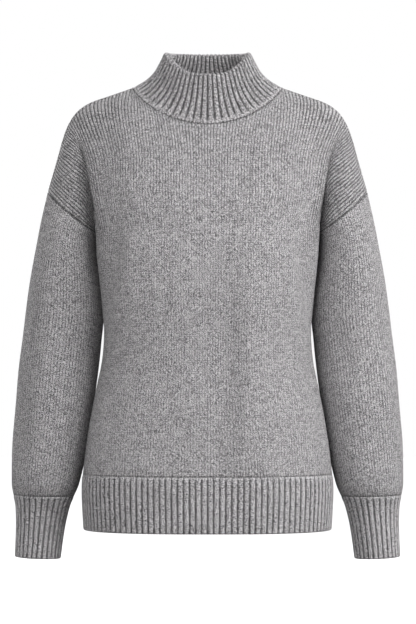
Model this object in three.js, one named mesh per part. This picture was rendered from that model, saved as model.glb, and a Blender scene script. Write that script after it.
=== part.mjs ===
import * as THREE from 'three';

// Mock neck sweater, filled out as worn and hollow inside.
// Millimetres: +X towards the wearer's left, -Y forward, +Z up.
// The origin is the middle of the neck base, level with the points where neck and shoulders meet.

// Walls and seams
const seamGap = 0.3;
const underarmGap = 0.75;
const underarmReach = 32;
const knitWall = 2.8;
const ribWall = 3.4;
const collarWall = 6.4;

// Neck base: the seam between the body and the collar
const neckHalfWidth = 109;
const neckFront = { depth: -76, drop: 56 };
const neckBack = { depth: 62, drop: 16 };
const neckDropPower = 1.55;

// Collar: its folded rim, and the point that its side is bowed towards
const rimHalfWidth = 65.5;
const rimFront = { depth: -60, drop: 36 };
const rimBack = { depth: 52, drop: 0 };
const rimHeight = 51;
const bowHalfWidth = 74;
const bowFront = { depth: -63, drop: 37 };
const bowBack = { depth: 53, drop: 0 };
const bowHeight = 12;
const rimRound = 3;

// A wale is a column of stitches. Its place across half a panel runs from 0 at the middle
// to 1 at the side edge, and the wale at neckWale ends where neck and shoulder meet.
const neckWale = 0.42;
const neckWaleSpread = 0.32;
const underarmWale = 0.94;

// Shoulder line, from the neck out over the dropped shoulder to the sleeve
const shoulderLine = [
  { wale: 0.42, across: 109, depth: 0, height: 0 },
  { wale: 0.52, across: 141, depth: 2, height: -11 },
  { wale: 0.62, across: 172, depth: 4, height: -22 },
  { wale: 0.70, across: 192, depth: 6, height: -37 },
  { wale: 0.78, across: 206, depth: 8, height: -62 },
  { wale: 0.88, across: 219, depth: 10, height: -106 },
  { wale: 1.00, across: 232.4, depth: 12, height: -152.3 },
];

// Four places down each wale between the shoulder line and the underarm level:
// [across, height, depth of the front, depth of the back]
const yokeWales = [
  {
    wale: 0.00,
    over: [0, -68, -82, 85],
    yoke: [0, -92, -93, 95],
    chest: [0, -120, -104, 102],
    bust: [0, -155, -114, 107],
  },
  {
    wale: 0.21,
    over: [59, -58, -74, 76],
    yoke: [57, -84, -88, 90],
    chest: [56, -116, -100.5, 98.5],
    bust: [55.5, -152, -110.5, 104],
  },
  {
    wale: 0.42,
    over: [113, -22, -34, 32],
    yoke: [114, -56, -63, 60],
    chest: [113, -100, -85, 82],
    bust: [112, -150, -98.5, 94],
  },
  {
    wale: 0.52,
    over: [143, -27, -27, 28],
    yoke: [142, -60, -50, 52],
    chest: [138, -104, -71, 71],
    bust: [134.5, -150, -84, 82],
  },
  {
    wale: 0.62,
    over: [173, -36, -20, 24],
    yoke: [170, -67, -37, 42],
    chest: [163, -107, -55, 59],
    bust: [155.5, -150, -66, 68],
  },
  {
    wale: 0.70,
    over: [190, -50, -14, 26],
    yoke: [183, -77, -31, 40],
    chest: [174.5, -107, -43, 50],
    bust: [167.5, -148, -50.5, 55],
  },
  {
    wale: 0.78,
    over: [201, -73, -18, 36],
    yoke: [188, -89, -33, 50],
    chest: [174, -107, -36, 50],
    bust: [166, -145, -33, 47],
  },
  {
    wale: 0.88,
    over: [212, -117, -24, 50],
    yoke: [196, -131, -41, 64],
    chest: [175, -148, -36, 58],
    bust: [165.5, -178, -25, 49],
  },
];

// Torso sections from the underarm down to the hem rib, and on to the bottom edge.
// armTuck is how far the side is dented where the sleeve lies against it.
const torsoSections = [
  { height: -212, halfWidth: 166, front: 121.5, back: 109, armTuck: 9 },
  { height: -238, halfWidth: 164.5, front: 122, back: 107, armTuck: 8.5 },
  { height: -264, halfWidth: 162, front: 122, back: 104, armTuck: 7.5 },
  { height: -294, halfWidth: 158.5, front: 122, back: 100, armTuck: 7 },
  { height: -325, halfWidth: 155.5, front: 120, back: 98, armTuck: 6.5 },
  { height: -352, halfWidth: 152, front: 118, back: 97, armTuck: 3.5 },
  { height: -394, halfWidth: 153, front: 117, back: 100, armTuck: 0.5 },
  { height: -428, halfWidth: 161.5, front: 118, back: 106, armTuck: 3.2 },
  { height: -470, halfWidth: 170.5, front: 120, back: 112, armTuck: 4.6 },
  { height: -510, halfWidth: 177.5, front: 122, back: 118, armTuck: 5.2 },
  { height: -559, halfWidth: 182, front: 125, back: 122, armTuck: 2.5 },
];
const hemSections = [
  torsoSections.at(-1),
  { height: -582, halfWidth: 183, front: 125, back: 122, armTuck: 2 },
  { height: -610, halfWidth: 181.5, front: 124.5, back: 122, armTuck: 1 },
  { height: -639, halfWidth: 179.5, front: 124, back: 122, armTuck: 0.5 },
];
const torsoSquareness = 2.5;
const sideSeamDepth = 12;
const tuckDepth = 10;
const tuckReach = 38;

// Sleeve sections: outer and inner edge as [across, height], then the middle and half of its depth
const armholeHalfDepth = 60;
const armholeSag = 5;
const sleeveSections = [
  { outer: [241, -190], inner: [160.5, -221], middle: 13, halfDepth: 64 },
  { outer: [249, -228], inner: [160.8, -243], middle: 14, halfDepth: 67 },
  { outer: [256.5, -268], inner: [156.2, -272], middle: 15, halfDepth: 67 },
  { outer: [264.5, -325], inner: [150.6, -326], middle: 16, halfDepth: 65 },
  { outer: [269.8, -368], inner: [154.2, -368], middle: 16, halfDepth: 63 },
  { outer: [275, -415], inner: [159.8, -415], middle: 15, halfDepth: 62 },
  { outer: [279.7, -470], inner: [166.8, -470], middle: 13, halfDepth: 60 },
  { outer: [284, -530], inner: [176, -530], middle: 10, halfDepth: 57 },
  { outer: [284.6, -572], inner: [185.6, -572], middle: 7, halfDepth: 52 },
  { outer: [281.6, -590], inner: [194, -592], middle: 6, halfDepth: 45 },
];
const cuffSections = [
  sleeveSections.at(-1),
  { outer: [278.6, -604], inner: [200, -606], middle: 5, halfDepth: 38.5 },
  { outer: [277.4, -628], inner: [206, -630], middle: 4, halfDepth: 35.5 },
  { outer: [278, -654], inner: [210.3, -656], middle: 3, halfDepth: 34.5 },
  { outer: [279.2, -679], inner: [213.5, -682], middle: 2, halfDepth: 35 },
];

// Large soft folds of the body: a line of [across, height] that the cloth rises along,
// or sinks along where rise is negative, fading out over its reach on each side
const bodyFolds = [
  { face: -1, from: [-112, -232], to: [-146, -372], rise: 5, reach: 15 },
  { face: -1, from: [-136, -236], to: [-152, -330], rise: -6, reach: 15 },
  { face: -1, from: [113, -222], to: [146, -368], rise: 4.5, reach: 15 },
  { face: -1, from: [134, -240], to: [150, -340], rise: -5, reach: 14 },
  { face: -1, from: [42, -190], to: [41, -640], rise: -3.5, reach: 20 },
  { face: -1, from: [-18, -340], to: [-20, -545], rise: 2, reach: 24 },
  { face: 1, from: [-108, -240], to: [-140, -392], rise: 5, reach: 17 },
  { face: 1, from: [118, -228], to: [138, -360], rise: 4, reach: 16 },
  { face: 1, from: [34, -330], to: [50, -600], rise: -3.5, reach: 22 },
  { face: 1, from: [-46, -360], to: [-62, -590], rise: -3, reach: 20 },
];
const foldFacing = { from: 25, to: 75 };
const foldEndShare = 0.35;

// How finely the faceted walls are divided
const neckSteps = 6;
const shoulderStops = [0.49, 0.56, 0.63, 0.69, 0.73, 0.77, 0.82, 0.88, 0.94, 1];
const yokeRows = 9;
const sleeveRowStep = 0.75;
const collarRows = 6;
const sectionSteps = 240;
const waleSteps = 120;

// Points closer than this are one point of a seam
const weldDistance = 0.01;

// How much a point's depth and its distance from the middle count, beside its height, in picking
// the corner that a narrow face is split from
const cornerLean = { depth: 0.61, across: 0.37 };

const melangeGrey = { color: 0x98969a, roughness: 0.95, metalness: 0 };
const ribGrey = { color: 0x8a8889, roughness: 0.95, metalness: 0 };

const vec = (x, y, z) => new THREE.Vector3(x, y, z);

// Smooth value of a table's column between its rows, by cubic Hermite spans.
function smoothValue(stops, values, at) {
  const last = stops.length - 1;
  let k = 0;
  while (k < last - 1 && at > stops[k + 1]) k += 1;
  const slope = (i) => {
    const a = Math.max(i - 1, 0);
    const b = Math.min(i + 1, last);
    return (values[b] - values[a]) / (stops[b] - stops[a]);
  };
  const span = stops[k + 1] - stops[k];
  const t = (at - stops[k]) / span;
  const rise = values[k + 1] - values[k];
  const bend = slope(k) * span * t * (1 - t) ** 2 - slope(k + 1) * span * (1 - t) * t ** 2;
  return values[k] + rise * t * t * (3 - 2 * t) + bend;
}

// Neck base at an angle from its front or back middle to the neck point
function neckPoint(face, angle) {
  const lean = Math.cos(angle);
  const { depth, drop } = face < 0 ? neckFront : neckBack;
  return vec(neckHalfWidth * Math.sin(angle), depth * lean, -drop * lean ** neckDropPower);
}

function neckAngleToWale(angle) {
  const even = angle / (Math.PI / 2);
  return neckWale * (neckWaleSpread * even + (1 - neckWaleSpread) * Math.sin(angle));
}

function shoulderPoint(wale) {
  const stops = shoulderLine.map((row) => row.wale);
  const column = (name) => smoothValue(stops, shoulderLine.map((row) => row[name]), wale);
  return vec(column('across'), column('depth'), column('height'));
}

// Torso section from the middle of one face to the side seam, at an even share of its length
function torsoPoint(section, face, share) {
  const points = [];
  for (let i = 0; i <= sectionSteps; i += 1) {
    const angle = (Math.PI * i) / sectionSteps;
    const lean = Math.cos(angle) * face;
    const half = lean < 0 ? section.front : section.back;
    const reach = Math.abs(Math.cos(angle)) ** (2 / torsoSquareness);
    const depth = Math.sign(lean) * half * reach;
    const dent = section.armTuck * Math.exp(-(((depth - tuckDepth) / tuckReach) ** 2));
    const side = Math.sin(angle) ** (2 / torsoSquareness);
    points.push(vec(section.halfWidth * side - dent * side, depth, section.height));
    if ((depth - sideSeamDepth) * face < 0) break;
  }
  const [before, after] = points.slice(-2);
  after.lerpVectors(before, after, (sideSeamDepth - before.y) / (after.y - before.y));
  return pointAlong(points, share);
}

// Point at a share of a polyline's length
function pointAlong(points, share) {
  const reach = [0];
  for (let i = 1; i < points.length; i += 1) {
    reach.push(reach[i - 1] + points[i].distanceTo(points[i - 1]));
  }
  const target = share * reach.at(-1);
  let k = 1;
  while (k < points.length - 1 && reach[k] < target) k += 1;
  const t = (target - reach[k - 1]) / (reach[k] - reach[k - 1]);
  return new THREE.Vector3().lerpVectors(points[k - 1], points[k], t);
}

// Armhole seam: an ellipse from the shoulder tip round to the underarm
const shoulderTip = shoulderPoint(1);
const underarm = torsoPoint(torsoSections[0], -1, 1);
const armholeMiddle = new THREE.Vector3().lerpVectors(shoulderTip, underarm, 0.5);
const armholeOutward = shoulderTip.clone().sub(armholeMiddle);
function armholePoint(face, angle) {
  const point = armholeMiddle.clone().addScaledVector(armholeOutward, Math.cos(angle));
  point.y += face * armholeHalfDepth * Math.sin(angle);
  point.z -= armholeSag * Math.sin(angle) ** 2;
  return point;
}

// The four yoke places of a wale, between the table's rows and the armhole
function yokePoints(face, wale) {
  const places = ['over', 'yoke', 'chest', 'bust'];
  const stops = [-yokeWales[1].wale, ...yokeWales.map((row) => row.wale), 1];
  return places.map((place, i) => {
    const column = (k, mirrored) => {
      const values = yokeWales.map((row) => row[place][k]);
      return [mirrored * values[1], ...values];
    };
    const edge = armholePoint(face, (Math.PI * (i + 1)) / (places.length + 1));
    const across = smoothValue(stops, [...column(0, -1), edge.x], wale);
    const height = smoothValue(stops, [...column(1, 1), edge.z], wale);
    const depth = smoothValue(stops, [...column(face < 0 ? 2 : 3, 1), edge.y], wale);
    return vec(across, depth, height);
  });
}

// One wale of half a body panel, from the neck or shoulder line down to the hem rib.
// Its yoke rows end level with the underarm at the side seam, and one section lower elsewhere.
function waleLine(face, top, wale) {
  const level = torsoSections.map((section) => torsoPoint(section, face, wale));
  const guides = [top, ...yokePoints(face, wale), ...level.slice(0, 3)];
  const curve = new THREE.CatmullRomCurve3(guides, false, 'centripetal');
  const end = guides.length - 2 - THREE.MathUtils.smoothstep(wale, underarmWale, 1);
  const share = end / (guides.length - 1);
  const fine = Array.from({ length: waleSteps + 1 }, (_, i) => curve.getPoint((share * i) / waleSteps));
  const yoke = Array.from({ length: yokeRows + 1 }, (_, i) => pointAlong(fine, i / yokeRows));
  return [...yoke, ...level.slice(2)];
}

// Lifts a body point by the folds that it lies near; the cloth near the side seams keeps still
function foldedPoint(point, face) {
  const facing = THREE.MathUtils.smoothstep(Math.abs(point.y), foldFacing.from, foldFacing.to);
  const here = new THREE.Vector2(point.x, point.z);
  let lift = 0;
  for (const fold of bodyFolds.filter((row) => row.face === face)) {
    const from = new THREE.Vector2(...fold.from);
    const run = new THREE.Vector2(...fold.to).sub(from);
    const along = here.clone().sub(from).dot(run) / run.lengthSq();
    const nearest = THREE.MathUtils.clamp(along, 0, 1);
    const away = here.distanceTo(from.clone().addScaledVector(run, nearest));
    const fade = foldEndShare + (1 - foldEndShare) * Math.sin(Math.PI * nearest);
    lift += fold.rise * fade * Math.exp(-((away / fold.reach) ** 2));
  }
  return vec(point.x, point.y + face * lift * facing, point.z);
}

function mirrorX(point) {
  return vec(-point.x, point.y, point.z);
}

// Grid of a body panel: rows down, columns from the wearer's right to left
function bodyGrid(face) {
  const halfLines = [];
  for (let i = 0; i <= neckSteps; i += 1) {
    const angle = (Math.PI / 2) * (i / neckSteps);
    halfLines.push(waleLine(face, neckPoint(face, angle), neckAngleToWale(angle)));
  }
  for (const wale of shoulderStops) halfLines.push(waleLine(face, shoulderPoint(wale), wale));
  const lines = [...halfLines.slice(1).reverse().map((line) => line.map(mirrorX)), ...halfLines];
  return lines[0].map((_, row) => lines.map((line) => foldedPoint(line[row], face)));
}

function hemGrid(face) {
  const neckAngles = Array.from({ length: neckSteps + 1 }, (_, i) => (Math.PI / 2) * (i / neckSteps));
  const wales = [...neckAngles.map(neckAngleToWale), ...shoulderStops];
  return hemSections.map((section) => {
    const half = wales.map((wale) => torsoPoint(section, face, wale));
    return [...half.slice(1).reverse().map(mirrorX), ...half].map((point) => foldedPoint(point, face));
  });
}

// Section of a sleeve or cuff, at the angles that the armhole's points have round its middle
function armRing(section, angles) {
  const outer = vec(section.outer[0], section.middle, section.outer[1]);
  const inner = vec(section.inner[0], section.middle, section.inner[1]);
  const middle = new THREE.Vector3().lerpVectors(outer, inner, 0.5);
  const outward = outer.sub(middle);
  return angles.map((angle) => {
    const point = middle.clone().addScaledVector(outward, Math.cos(angle));
    point.y += section.halfDepth * Math.sin(angle);
    return point;
  });
}

function sectionBetween(sections, at) {
  const stops = sections.map((_, i) => i);
  const value = (pick) => smoothValue(stops, sections.map(pick), at);
  return {
    outer: [value((s) => s.outer[0]), value((s) => s.outer[1])],
    inner: [value((s) => s.inner[0]), value((s) => s.inner[1])],
    middle: value((s) => s.middle),
    halfDepth: value((s) => s.halfDepth),
  };
}

// Armhole seam of one side, down the edge of the front and up the edge of the back
function armholeRing(column) {
  const edge = (grid) => grid.slice(0, yokeRows + 1).map((row) => row.at(column));
  return [...edge(front), ...edge(back).slice(1, -1).reverse()];
}

function armAngles(ring) {
  return ring.map((point) => {
    const along = (point.x - armholeMiddle.x) / armholeOutward.x;
    return Math.atan2((point.y - armholeMiddle.y) / armholeHalfDepth, along);
  });
}

function sleeveGrid(ring) {
  const angles = armAngles(ring);
  const grid = [ring];
  const last = sleeveSections.length - 1;
  const rows = Math.round(last / sleeveRowStep);
  for (let i = 0; i <= rows; i += 1) {
    grid.push(armRing(sectionBetween(sleeveSections, (last * i) / rows), angles));
  }
  return grid;
}

// Collar side at an angle round the neck, and a share of its height from seam to rim
function collarPoint(face, angle, share) {
  const lean = Math.cos(angle);
  const side = Math.sin(angle);
  const dip = 1 - Math.abs(side) ** 3;
  const [rim, bow] = face < 0 ? [rimFront, bowFront] : [rimBack, bowBack];
  const seam = neckPoint(face, angle);
  const bowPoint = vec(bowHalfWidth * side, bow.depth * lean, bowHeight - bow.drop * dip);
  const rimPoint = vec(rimHalfWidth * side, rim.depth * lean, rimHeight - rimRound - rim.drop * dip);
  return new THREE.QuadraticBezierCurve3(seam, bowPoint, rimPoint).getPoint(share);
}

function collarGrid() {
  const quarter = Array.from({ length: neckSteps + 1 }, (_, i) => (Math.PI / 2) * (i / neckSteps));
  return Array.from({ length: collarRows + 1 }, (_, row) => {
    const front = quarter.map((angle) => collarPoint(-1, angle, row / collarRows));
    const back = quarter.map((angle) => collarPoint(1, angle, row / collarRows)).reverse();
    const left = [...front, ...back.slice(1)];
    const right = left.slice(1, -1).reverse().map(mirrorX);
    return [...left, ...right];
  });
}

// A cell's two triangles, split along its shorter diagonal; corners go round the cell
function cellTriangles(corners, pointOf) {
  const reach = (a, b) => pointOf(corners[a]).distanceTo(pointOf(corners[b]));
  const [a, b, c, d] = reach(0, 2) > reach(1, 3) ? [...corners.slice(1), corners[0]] : corners;
  return [[a, b, c], [a, c, d]];
}

// Closeness to an underarm: 1 there, fading out over its reach
function nearUnderarm(point) {
  const away = Math.hypot(Math.abs(point.x) - underarm.x, point.y - underarm.y, point.z - underarm.z);
  return Math.exp(-((away / underarmReach) ** 2));
}

// Outward directions at a grid's points, each the mean of its triangles' directions by corner angle.
// outward is a rough direction at the grid's middle point.
function gridNormals(grid, closedRound, outward) {
  const rows = grid.length;
  const columns = grid[0].length;
  const normals = grid.map((line) => line.map(() => vec(0, 0, 0)));
  const pointOf = ([r, c]) => grid[r][c];
  for (let r = 0; r < rows - 1; r += 1) {
    for (let c = 0; c < (closedRound ? columns : columns - 1); c += 1) {
      const next = (c + 1) % columns;
      for (const triangle of cellTriangles([[r, c], [r + 1, c], [r + 1, next], [r, next]], pointOf)) {
        triangle.forEach((corner, i) => {
          const before = pointOf(triangle[(i + 2) % 3]).clone().sub(pointOf(corner));
          const after = pointOf(triangle[(i + 1) % 3]).clone().sub(pointOf(corner));
          const facing = after.clone().cross(before).normalize();
          normals[corner[0]][corner[1]].addScaledVector(facing, after.angleTo(before));
        });
      }
    }
  }
  const middle = normals[Math.floor(rows / 2)][closedRound ? 0 : Math.floor(columns / 2)];
  const sign = Math.sign(middle.dot(outward));
  normals.flat().forEach((normal) => normal.multiplyScalar(sign).normalize());
  return normals;
}

// Pieces that share a seam point share the direction of its wall too.
// Where three meet, the front and back together count as much as the third.
function shareSeamNormals(pieces) {
  const seams = new Map();
  for (const piece of pieces) {
    piece.grid.forEach((line, r) => line.forEach((point, c) => {
      const key = point.toArray().map((value) => Math.round(value / weldDistance)).join();
      if (!seams.has(key)) seams.set(key, []);
      seams.get(key).push([piece, r, c]);
    }));
  }
  for (const places of seams.values()) {
    const mean = new THREE.Vector3();
    const weight = (piece) => (places.length > 2 && !piece.round ? 0.5 : 1);
    places.forEach(([piece, r, c]) => mean.addScaledVector(piece.normals[r][c], weight(piece)));
    mean.normalize();
    places.forEach(([piece, r, c]) => piece.normals[r][c].copy(mean));
  }
}

// Moves a seam line along the cloth towards a neighbouring line, square to the seam and its wall.
// distance is a function of the seam's point. Round a tube the directions are eased into each other,
// so that the gap stays open where the seam twists.
function partSeam(line, normals, neighbours, distance, closedRound) {
  const last = line.length - 1;
  const directions = line.map((point, i) => {
    const before = line[closedRound ? (i + last) % line.length : Math.max(i - 1, 0)];
    const after = line[closedRound ? (i + 1) % line.length : Math.min(i + 1, last)];
    return after.clone().sub(before).cross(normals[i]).normalize();
  });
  const lean = directions.reduce((sum, way, i) => sum + way.dot(neighbours[i].clone().sub(line[i])), 0);
  const way = Math.sign(lean);
  const eased = directions.map((direction, i) => {
    if (!closedRound) return direction;
    const [before, after] = [directions[(i + last) % line.length], directions[(i + 1) % line.length]];
    return direction.clone().add(before).add(after).normalize();
  });
  return line.map((point, i) => point.clone().addScaledVector(eased[i], way * distance(point)));
}

// Both pieces at a seam split its narrow faces from the same corner
function cornerRank(point) {
  return point.z + cornerLean.depth * point.y + cornerLean.across * Math.abs(point.x);
}

// Closed wall: the grid outside, the same grid moved in by the wall inside, and its edges.
// The first row keeps the thickness of the cloth that it is sewn to.
function wallGeometry({ grid, normals, wall, round, crest }) {
  const inset = (r) => (r === 0 ? knitWall : wall);
  const moveIn = (point, r, c) => point.clone().addScaledVector(normals[r][c], -inset(r));
  const inside = grid.map((line, r) => line.map((point, c) => moveIn(point, r, c)));
  const rows = grid.length;
  const columns = grid[0].length;
  const points = [...grid.flat(), ...inside.flat()];
  const index = [];
  const id = (layer, r, c) => layer * rows * columns + r * columns + (c % columns);
  const quad = (a, b, c, d) => index.push(a, b, c, a, c, d);
  const edgeQuad = (a, b, c, d) => {
    if (cornerRank(points[a]) > cornerRank(points[b])) quad(a, b, c, d);
    else quad(b, c, d, a);
  };
  const spans = round ? columns : columns - 1;
  for (let r = 0; r < rows - 1; r += 1) {
    for (let c = 0; c < spans; c += 1) {
      const corners = [[r, c], [r + 1, c], [r + 1, c + 1], [r, c + 1]];
      for (const triangle of cellTriangles(corners, ([row, column]) => grid[row][column % columns])) {
        const outer = triangle.map(([row, column]) => id(0, row, column));
        const inner = triangle.map(([row, column]) => id(1, row, column));
        index.push(...outer, ...inner.reverse());
      }
    }
  }
  const crestStart = points.length;
  if (crest) {
    for (let c = 0; c < columns; c += 1) {
      const top = new THREE.Vector3().lerpVectors(grid[rows - 1][c], inside[rows - 1][c], 0.5);
      points.push(top.setZ(top.z + crest));
    }
  }
  for (let c = 0; c < spans; c += 1) {
    edgeQuad(id(0, 0, c), id(0, 0, c + 1), id(1, 0, c + 1), id(1, 0, c));
    const [near, far] = [crestStart + c, crestStart + ((c + 1) % columns)];
    if (crest) {
      quad(id(0, rows - 1, c), near, far, id(0, rows - 1, c + 1));
      quad(near, id(1, rows - 1, c), id(1, rows - 1, c + 1), far);
    } else {
      edgeQuad(id(0, rows - 1, c + 1), id(0, rows - 1, c), id(1, rows - 1, c), id(1, rows - 1, c + 1));
    }
  }
  if (!round) {
    for (let r = 0; r < rows - 1; r += 1) {
      edgeQuad(id(0, r + 1, 0), id(0, r, 0), id(1, r, 0), id(1, r + 1, 0));
      edgeQuad(id(0, r, spans), id(0, r + 1, spans), id(1, r + 1, spans), id(1, r, spans));
    }
  }
  const positions = points.flatMap((point) => point.toArray());
  const geometry = new THREE.BufferGeometry();
  geometry.setAttribute('position', new THREE.Float32BufferAttribute(positions, 3));
  geometry.setIndex(volumeOf(positions, index) < 0 ? turned(index) : index);
  geometry.computeVertexNormals();
  return geometry;
}

function volumeOf(positions, index) {
  const corner = (i) => new THREE.Vector3().fromArray(positions, 3 * index[i]);
  let volume = 0;
  for (let i = 0; i < index.length; i += 3) volume += corner(i).dot(corner(i + 1).cross(corner(i + 2))) / 6;
  return volume;
}

function turned(index) {
  const result = [];
  for (let i = 0; i < index.length; i += 3) result.push(index[i], index[i + 2], index[i + 1]);
  return result;
}

const front = bodyGrid(-1);
const back = bodyGrid(1);
const leftArmhole = armholeRing(-1);
const rightArmhole = armholeRing(0).map(mirrorX);
const cuffGrid = (ring) => cuffSections.map((section) => armRing(section, armAngles(ring)));
const mirrored = (grid) => grid.map((line) => line.map(mirrorX));

const forward = vec(0, -1, 0);
const backward = vec(0, 1, 0);
const leftward = vec(1, 0, 0);
const rightward = vec(-1, 0, 0);
const plain = { wall: knitWall, look: melangeGrey };
const rib = { wall: ribWall, look: ribGrey };
const foldedRib = { wall: collarWall, look: ribGrey, crest: rimRound };
const tube = { round: true };
const pieces = [
  { name: 'front', grid: front, outward: forward, ...plain },
  { name: 'back', grid: back, outward: backward, ...plain },
  { name: 'sleeve_left', grid: sleeveGrid(leftArmhole), outward: leftward, ...plain, ...tube },
  { name: 'sleeve_right', grid: mirrored(sleeveGrid(rightArmhole)), outward: rightward, ...plain, ...tube },
  { name: 'hem_front', grid: hemGrid(-1), outward: forward, ...rib },
  { name: 'hem_back', grid: hemGrid(1), outward: backward, ...rib },
  { name: 'cuff_left', grid: cuffGrid(leftArmhole), outward: leftward, ...rib, ...tube },
  { name: 'cuff_right', grid: mirrored(cuffGrid(rightArmhole)), outward: rightward, ...rib, ...tube },
  { name: 'collar', grid: collarGrid(), outward: forward, ...foldedRib, ...tube },
];
for (const piece of pieces) piece.normals = gridNormals(piece.grid, piece.round, piece.outward);
shareSeamNormals(pieces);

// Seam gaps: the front and back part at the shoulders and sides, and each rib,
// sleeve and the collar starts a little way along from the edge it is sewn to.
// The gaps are wider at the underarm, where the cloth turns sharply.
function wholeGap(point) {
  return seamGap + (underarmGap - seamGap) * nearUnderarm(point);
}

function halfGap(point) {
  return wholeGap(point) / 2;
}
function partSideSeams({ grid, normals }) {
  for (const [edge, beside] of [[0, 1], [-1, -2]]) {
    const pick = (lines, c) => lines.map((line) => line.at(c));
    const eased = partSeam(pick(grid, edge), pick(normals, edge), pick(grid, beside), halfGap, false);
    grid.forEach((line, r) => line.splice(edge, 1, eased[r]));
  }
}

function partShoulderSeams({ grid, normals }) {
  const count = shoulderStops.length + 1;
  for (const [from, to] of [[0, count], [grid[0].length - count, grid[0].length]]) {
    const pick = (lines, r) => lines[r].slice(from, to);
    const eased = partSeam(pick(grid, 0), pick(normals, 0), pick(grid, 1), halfGap, false);
    grid[0].splice(from, count, ...eased);
  }
}

function partFirstRow({ grid, normals, round }) {
  grid[0] = partSeam(grid[0], normals[0], grid[1], wholeGap, round);
}

for (const piece of pieces) {
  if (!piece.round) partSideSeams(piece);
  if (piece.grid === front || piece.grid === back) partShoulderSeams(piece);
  else partFirstRow(piece);
}

const sweater = new THREE.Group();
sweater.name = 'mock_neck_sweater';
for (const piece of pieces) {
  const mesh = new THREE.Mesh(wallGeometry(piece), new THREE.MeshStandardMaterial(piece.look));
  mesh.name = piece.name;
  sweater.add(mesh);
}

export default sweater;
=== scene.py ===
import math

import bpy
import numpy as np
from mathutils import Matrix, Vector


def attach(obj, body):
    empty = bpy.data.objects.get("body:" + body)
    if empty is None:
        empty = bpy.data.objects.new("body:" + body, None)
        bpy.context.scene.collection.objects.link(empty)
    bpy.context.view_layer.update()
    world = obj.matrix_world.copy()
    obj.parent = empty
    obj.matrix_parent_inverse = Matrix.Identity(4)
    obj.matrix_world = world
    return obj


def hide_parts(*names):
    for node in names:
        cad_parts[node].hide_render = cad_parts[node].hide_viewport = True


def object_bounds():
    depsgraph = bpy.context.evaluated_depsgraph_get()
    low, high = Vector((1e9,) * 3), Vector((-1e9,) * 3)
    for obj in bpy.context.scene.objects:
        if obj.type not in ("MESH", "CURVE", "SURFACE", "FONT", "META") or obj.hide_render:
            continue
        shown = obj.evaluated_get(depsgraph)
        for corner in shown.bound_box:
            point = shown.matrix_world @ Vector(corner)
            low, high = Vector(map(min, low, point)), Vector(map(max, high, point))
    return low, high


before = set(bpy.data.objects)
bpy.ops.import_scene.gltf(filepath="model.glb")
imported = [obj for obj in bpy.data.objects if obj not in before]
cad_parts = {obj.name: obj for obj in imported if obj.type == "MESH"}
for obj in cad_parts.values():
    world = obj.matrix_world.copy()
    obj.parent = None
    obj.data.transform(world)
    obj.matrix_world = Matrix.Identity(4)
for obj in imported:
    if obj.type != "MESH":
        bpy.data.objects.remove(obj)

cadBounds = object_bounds()
mm = 0.001  # the tables below are in millimetres: +X wearer's left, -Y forward, +Z up

# the form of the worn garment, the same sections as the CAD walls
neckBase = {"halfWidth": 109, "depth": (-76, 62), "drop": (56, 16), "dropPower": 1.55,
            "edgeWale": 0.42, "evenShare": 0.32, "steps": 400}  # pairs are front, back
# wale, across, depth, height
shoulderLine = [(0.42, 109, 0, 0), (0.52, 141, 2, -11), (0.62, 172, 4, -22), (0.70, 192, 6, -37),
                (0.78, 206, 8, -62), (0.88, 219, 10, -106), (1.00, 232.4, 12, -152.3)]
# wale: four places down it, each across, height, front depth, back depth
yokeWales = {
    0.00: ((0, -68, -82, 85), (0, -92, -93, 95), (0, -120, -104, 102), (0, -155, -114, 107)),
    0.21: ((59, -58, -74, 76), (57, -84, -88, 90), (56, -116, -100.5, 98.5), (55.5, -152, -110.5, 104)),
    0.42: ((113, -22, -34, 32), (114, -56, -63, 60), (113, -100, -85, 82), (112, -150, -98.5, 94)),
    0.52: ((143, -27, -27, 28), (142, -60, -50, 52), (138, -104, -71, 71), (134.5, -150, -84, 82)),
    0.62: ((173, -36, -20, 24), (170, -67, -37, 42), (163, -107, -55, 59), (155.5, -150, -66, 68)),
    0.70: ((190, -50, -14, 26), (183, -77, -31, 40), (174.5, -107, -43, 50), (167.5, -148, -50.5, 55)),
    0.78: ((201, -73, -18, 36), (188, -89, -33, 50), (174, -107, -36, 50), (166, -145, -33, 47)),
    0.88: ((212, -117, -24, 50), (196, -131, -41, 64), (175, -148, -36, 58), (165.5, -178, -25, 49)),
}
# height, half width, front depth, back depth, dent where the sleeve lies against the side
torsoRows = [
    (-212, 166, 121.5, 109, 9), (-238, 164.5, 122, 107, 8.5), (-264, 162, 122, 104, 7.5),
    (-294, 158.5, 122, 100, 7), (-325, 155.5, 120, 98, 6.5), (-352, 152, 118, 97, 3.5),
    (-394, 153, 117, 100, 0.5), (-428, 161.5, 118, 106, 3.2), (-470, 170.5, 120, 112, 4.6),
    (-510, 177.5, 122, 118, 5.2), (-559, 182, 125, 122, 2.5), (-582, 183, 125, 122, 2),
    (-610, 181.5, 124.5, 122, 1), (-639, 179.5, 124, 122, 0.5)]
torsoForm = {"squareness": 2.5, "sideSeam": 12, "tuckDepth": 10, "tuckReach": 38, "underarmWale": 0.94,
             "hemStart": -559, "steps": 241}
armhole = {"halfDepth": 60, "sag": 5}
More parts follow.
